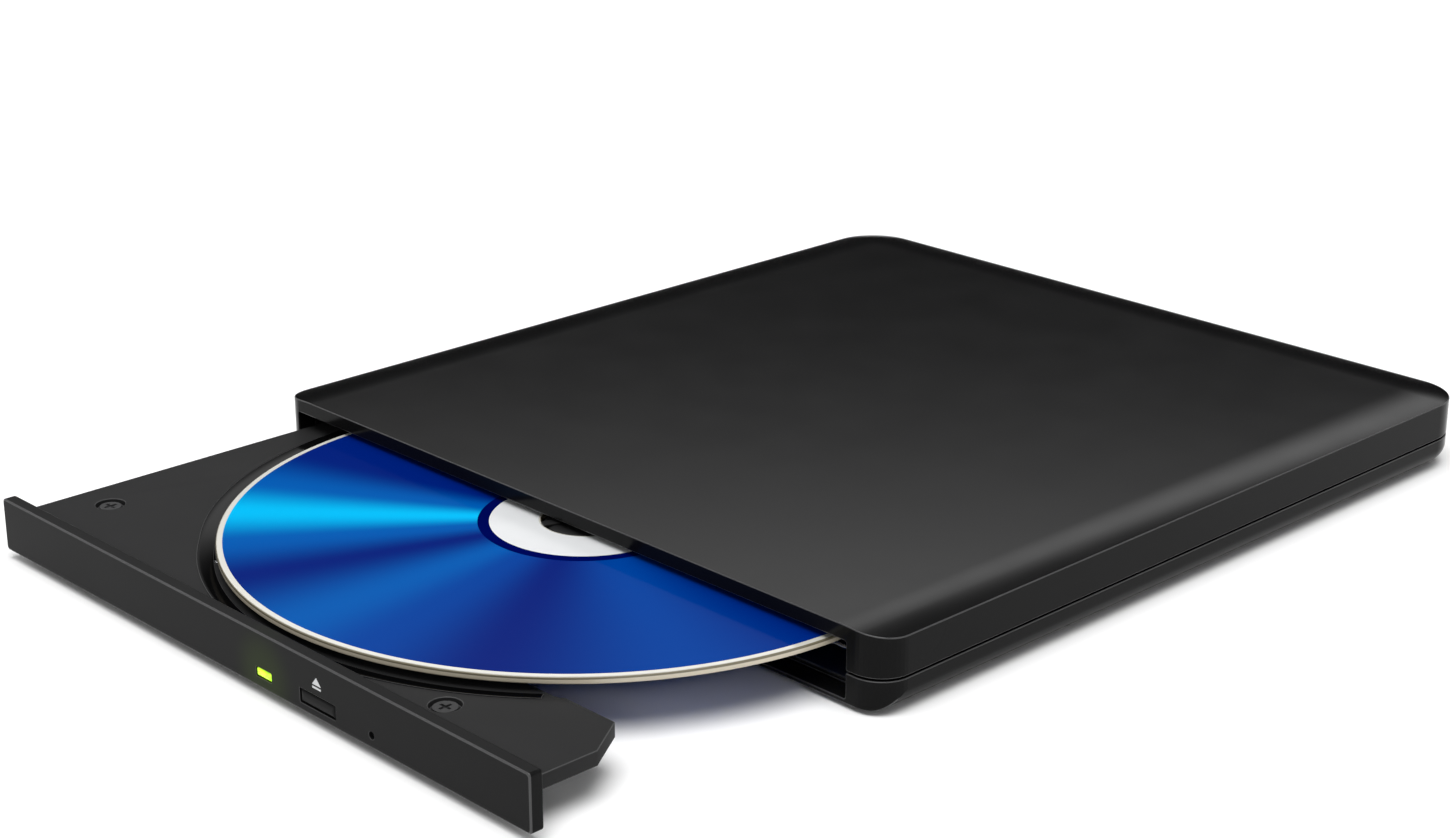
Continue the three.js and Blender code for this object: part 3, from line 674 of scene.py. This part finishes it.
def make_lower_shell():
    """The base: a lip inside the seam, posts for the bridge board, screw seats and foot pockets."""
    shell = to_object("lower_case", slab(lower_rings()), "shell")
    cut(shell, corner_cutters())
    lip = inner_cutter(1.15 * MM, FRONT + 1.15 * MM, SEAM_LOW - MM, SEAM_LOW + 1.1 * MM)
    cut(shell, [lip], "UNION")
    cavity = inner_cutter(WALL, FRONT + MOUTH_FRAME, FLOOR_TOP, 20 * MM)
    cut(shell, [cavity, mouth_cutter(), socket_cutter()])
    for x in BOARD_POST_X:
        cut(shell, [cutter(drum_mesh(x, BOARD_POST_Y, 1.7 * MM, 2.6 * MM, 2 * MM))], "UNION")
    for side in (-1, 1):
        boss = drum_mesh(side * FOOT_X, FOOT_REAR, 1.7 * MM, 3.1 * MM, 4.2 * MM)
        head_seat = drum_mesh(side * FOOT_X, FOOT_REAR, MM, 2.25 * MM, 2.4 * MM)
        screw_hole = drum_mesh(side * FOOT_X, FOOT_REAR, 2 * MM, 4 * MM, 1.2 * MM, 24)
        cut(shell, [cutter(boss)], "UNION")
        cut(shell, [cutter(head_seat), cutter(screw_hole)])
    pockets = [(x, y) for x in (-FOOT_X, FOOT_X) for y in (FOOT_FRONT, FOOT_REAR)]
    cut(shell, [cutter(drum_mesh(x, y, 0, 1.2 * MM, FOOT_RADIUS + 0.3 * MM, 64)) for x, y in pockets])
    # The rounded edges take the lighter edge material, a painted highlight line.
    soften(shell, 0.16 * MM, edge="shell_edge_highlight")
    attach(shell, "housing")
    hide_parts("lower_shell")


def make_mouth_strip():
    """The bright steel lip at the right of the opening, between the disc and the tray's wing."""
    y, z = FRONT + 2.5 * MM, 8.1 * MM
    made = box_mesh(54 * MM, MOUTH_RIGHT + 0.2 * MM, y, y + 0.6 * MM, z, z + 0.25 * MM)
    strip = to_object("mouth_strip", made, "bright_steel")
    soften(strip, 0.04 * MM)
    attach(strip, "housing")


def make_feet():
    """Rubber pads that stand on a flat rim, slightly hollow in the middle."""
    for row, y in (("front", FOOT_FRONT), ("rear", FOOT_REAR)):
        for side, x in (("left", -FOOT_X), ("right", FOOT_X)):
            r, middle = FOOT_RADIUS, 0.001 * MM
            profile = [
                (middle, 1.1 * MM), (r, 1.1 * MM), (r, 0.5 * MM), (r - 0.12 * MM, 0.2 * MM),
                (r - 0.5 * MM, 0), (r - 1.1 * MM, 0), (r - 1.3 * MM, 0.12 * MM), (middle, 0.12 * MM),
            ]
            foot = to_object(f"foot_pad_{row}_{side}", turned(profile, (x, y), 64), "rubber")
            soften(foot, 0.05 * MM)
            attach(foot, "housing")
            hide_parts(f"rubber_foot_{row}_{side}")


# ---- Tray ----

def make_bezel():
    """The front bezel: a slim bar with rounded edges, cut for its controls."""
    edge = 0.25 * MM
    x0, x1, z0, z1 = BEZEL_LOW.x, BEZEL_HIGH.x, BEZEL_LOW.z, BEZEL_HIGH.z
    y0, y1 = BEZEL_LOW.y + INK, BEZEL_HIGH.y
    levels = []
    for k in range(5):
        a = math.radians(90 * k / 4)
        levels.append((edge * (1 - math.sin(a)), y0 + edge * (1 - math.cos(a))))
    levels += [(0, y1 - 0.2 * MM), (0.06 * MM, y1 - 0.06 * MM), (0.2 * MM, y1)]
    rings = []
    for inset, y in levels:
        outline = rounded(x0 + inset, x1 - inset, z0 + inset, z1 - inset, 0.5 * MM, 5)
        rings.append([(x, y, z) for x, z in outline])
    # The rounded front edge rows and bevels take the bezel's lighter edge material, a painted highlight line.
    bezel = to_object("bezel_bar", loft(rings, (0, 1, 2, 3)), "bezel")
    gap = 0.2 * MM
    cutters = []
    for low, high in ((BUTTON_LOW, BUTTON_HIGH), (WINDOW_LOW, WINDOW_HIGH)):
        outline = rounded(low.x - gap, high.x + gap, low.z - gap, high.z + gap, 0.22 * MM, 5)
        cutters.append(cutter(loft([[(x, y, z) for x, z in outline] for y in (y0 - MM, y1 + MM)])))
    pin = arc(PINHOLE_X, PINHOLE_Z, PINHOLE_RADIUS, 0, 345, 23)
    cutters.append(cutter(loft([[(x, y, z) for x, z in pin] for y in (y0 - MM, y1 + MM)])))
    cut(bezel, cutters)
    soften(bezel, 0.06 * MM, 50, edge="bezel_edge_highlight")
    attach(bezel, "tray")
    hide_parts("front_bezel")


def make_button():
    """The eject button: a shallow pillow with a stem behind it."""
    y0 = BUTTON_LOW.y
    x0, x1, z0, z1 = BUTTON_LOW.x, BUTTON_HIGH.x, BUTTON_LOW.z, BUTTON_HIGH.z
    rings = []
    for inset, depth in ((0.9, 0), (0.45, 0.03), (0.2, 0.1), (0.05, 0.22), (0, 0.4), (0, 1.65)):
        outline = rounded(x0 + inset * MM, x1 - inset * MM, z0 + inset * MM, z1 - inset * MM, 0.09 * MM, 4)
        rings.append([(x, y0 + depth * MM, z) for x, z in outline])
    button = to_object("eject_key", loft(rings), "bezel")
    middle = (x0 + x1) / 2
    half, low, high = 0.8 * MM, 3.6 * MM, 4.7 * MM
    stem = box_mesh(middle - half, middle + half, y0 + 1.5 * MM, BUTTON_HIGH.y, low, high)
    cut(button, [cutter(stem)], "UNION")
    soften(button, 0.04 * MM, 50)
    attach(button, "button")
    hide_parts("eject_button")


def make_window():
    """The status light pipe, with a softly domed face."""
    x0, x1, z0, z1 = WINDOW_LOW.x, WINDOW_HIGH.x, WINDOW_LOW.z, WINDOW_HIGH.z
    rings = []
    for inset, depth in ((0.35, 0), (0.15, 0.04), (0.03, 0.14), (0, 0.3), (0, 2.15)):
        outline = rounded(x0 + inset * MM, x1 - inset * MM, z0 + inset * MM, z1 - inset * MM, 0.1 * MM, 5)
        rings.append([(x, WINDOW_LOW.y + depth * MM, z) for x, z in outline])
    window = to_object("status_lens", loft(rings), "status_light")
    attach(window, "tray")
    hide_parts("status_window")


def printed(name, outlines, y, depth):
    """Thin printed shapes standing on the bezel's face."""
    made = bmesh.new()
    for outline in outlines:
        piece = loft([[(x, y, z) for x, z in outline], [(x, y + depth, z) for x, z in outline]])
        mesh = bpy.data.meshes.new("part")
        piece.to_mesh(mesh)
        piece.free()
        made.from_mesh(mesh)
        bpy.data.meshes.remove(mesh)
    mark = to_object(name, made, "print", smooth=False)
    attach(mark, "tray")


def make_marks():
    """A generic eject symbol over the button: a triangle on a bar."""
    middle = (BUTTON_LOW.x + BUTTON_HIGH.x) / 2
    low = BUTTON_HIGH.z + 1.3 * MM
    wide, thick = 1.05 * MM, 0.32 * MM
    left, right = middle - wide, middle + wide
    bar = [(left, low), (right, low), (right, low + thick), (left, low + thick)]
    base = low + 0.62 * MM
    triangle = [(left, base), (right, base), (middle, base + 1.2 * MM)]
    printed("eject_symbol", [bar, triangle], BEZEL_LOW.y, 2 * INK)


def make_recess_ring():
    """The glossy border of the disc's recess. It is widest at the left, where it runs back into the drive."""
    gap = 0.04 * MM
    top = TRAY_TOP
    foot = RECESS_BOTTOM - 0.65 * MM
    start, end, widest, steps = 124, 313, 140, 190
    rings = []
    for k in range(steps + 1):
        a = math.radians(start + (end - start) * k / steps)
        out = RECESS_TOP + 0.3 * MM + 4 * MM * max(0, math.cos(a - math.radians(widest)))
        profile = [
            (out, top + gap / 2), (out, top + 3 * gap), (RECESS_TOP - 0.3 * MM, top + 3 * gap),
            (foot + 0.6 * MM, RECESS_FLOOR + 0.3 * MM), (foot, RECESS_FLOOR + 0.14 * MM),
            (foot, RECESS_FLOOR + gap / 2), (foot + 0.2 * MM, RECESS_FLOOR + gap / 2),
            (RECESS_TOP - 0.3 * MM, top + gap / 2),
        ]
        rings.append([(DISC_X + r * math.cos(a), DISC_Y + r * math.sin(a), z) for r, z in profile])
    ring = to_object("recess_wall", loft(rings), "gloss")
    # Its rounded edges take the tray's lighter edge material, a painted highlight line.
    soften(ring, 0.1 * MM, 30, edge="tray_edge_highlight")
    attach(ring, "tray")


# ---- Disc ----

def make_disc():
    """The disc with its rounded rim and stacking ring, and the printed and coated layers on its faces."""
    centre = (DISC_X, DISC_Y)
    low, high = DISC_LOW.z, DISC_HIGH.z
    out, bore, edge = DISC_RADIUS, BORE_RADIUS, 0.28 * MM
    rim = []
    for a in (90, 60, 30, 0):
        turn = math.radians(a)
        rim.append((out - edge * (1 - math.cos(turn)), high - edge * (1 - math.sin(turn))))
    under = [(r, low + high - z) for r, z in reversed(rim)]
    step = 0.15 * MM
    stack = [(17.4 * MM, low), (17.2 * MM, low - step), (16.6 * MM, low - step), (16.4 * MM, low)]
    inner = [(bore + step, low), (bore, low + step), (bore, high - step), (bore + step, high)]
    body = to_object("disc_body", turned(rim + under + stack + inner, centre, 192), "disc_plastic")
    modifier(body, "WEIGHTED_NORMAL", keep_sharp=False, weight=80)
    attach(body, "spindle")
    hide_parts("optical_disc")
    skin = 0.012 * MM
    for name, inside, outside, face, material in (
        ("disc_layer", 17.9 * MM, 58.9 * MM, high, "disc"),
        ("disc_layer_below", 19 * MM, 59.2 * MM, low, "disc"),
        ("disc_mirror_band", 16 * MM, 17.9 * MM, high, "navy"),
        ("disc_hub_label", 7.9 * MM, 16 * MM, high, "disc_hub"),
    ):
        below, above = face - skin, face + skin
        profile = [(inside, below), (outside, below), (outside, above), (inside, above)]
        layer = to_object(name, turned(profile, centre, 192), material, smooth=False)
        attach(layer, "spindle")


# ---- Cable ----

def make_cable():
    """The flat cable's rolling loop between housing and tray, and the branch that crosses to the board."""
    low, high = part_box("flat_flex_cable")
    wide, thick = 12 * MM, 0.15 * MM
    x0, x1 = low.x, low.x + wide
    front, rear, tray_end = low.y + 0.375 * MM, high.y, FRONT + 50 * MM
    middle, turn = (low.z + high.z) / 2, (high.z - low.z - thick) / 2
    path = [(rear + (front - rear) * k / 40, middle - turn, 0.0) for k in range(40)]
    for k in range(13):
        a = math.radians(180 * k / 12)
        path.append((front - turn * math.sin(a), middle - turn * math.cos(a), a))
    path += [(front + (tray_end - front) * k / 20, middle + turn, math.pi) for k in range(1, 21)]
    rings = []
    for y, z, a in path:
        across, up = math.sin(a) * thick / 2, math.cos(a) * thick / 2
        rings.append([
            (x0, y - across, z - up), (x1, y - across, z - up),
            (x1, y + across, z + up), (x0, y + across, z + up),
        ])
    cable = to_object("flat_cable", loft(rings), "flex")
    modifier(cable, "WEIGHTED_NORMAL", weight=80)
    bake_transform(cable)
    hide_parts("flat_flex_cable")
    outline = [(x1, rear - wide), (high.x, rear - wide), (high.x, rear), (x1, rear)]
    branch = to_object("flat_cable_branch", prism(outline, low.z, low.z + thick), "flex")
    soften(branch, 0.02 * MM)
    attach(branch, "housing")


# ---- CAD nodes kept as they are ----

# The nodes whose rounded edges take a lighter material of their own, a painted highlight line.
EDGES = {"tray_frame": "tray_edge_highlight"}


def finish_nodes():
    """Gives every CAD node that still shows its material, rounded edges and smooth shading."""
    slots = {row["node"]: row["material_slot"] for row in frame["record"]["subparts"]}
    for name, node in frame["nodes"].items():
        if node.hide_render:
            continue
        node.data.materials.clear()
        node.data.materials.append(MATERIALS[slots[name]])
        for face in node.data.polygons:
            face.use_smooth = True
        modifier(node, "WELD", merge_threshold=1e-6)
        modifier(node, "DECIMATE", decimate_type="DISSOLVE", angle_limit=math.radians(1))
        low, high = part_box(name)
        soften(node, min(0.12 * MM, min(high - low) * 0.12), 34, edge=EDGES.get(name))


make_camera()
make_stage()
make_upper_shell()
make_lower_shell()
make_mouth_strip()
make_feet()
make_bezel()
make_button()
make_window()
make_marks()
make_recess_ring()
make_disc()
make_cable()
finish_nodes()
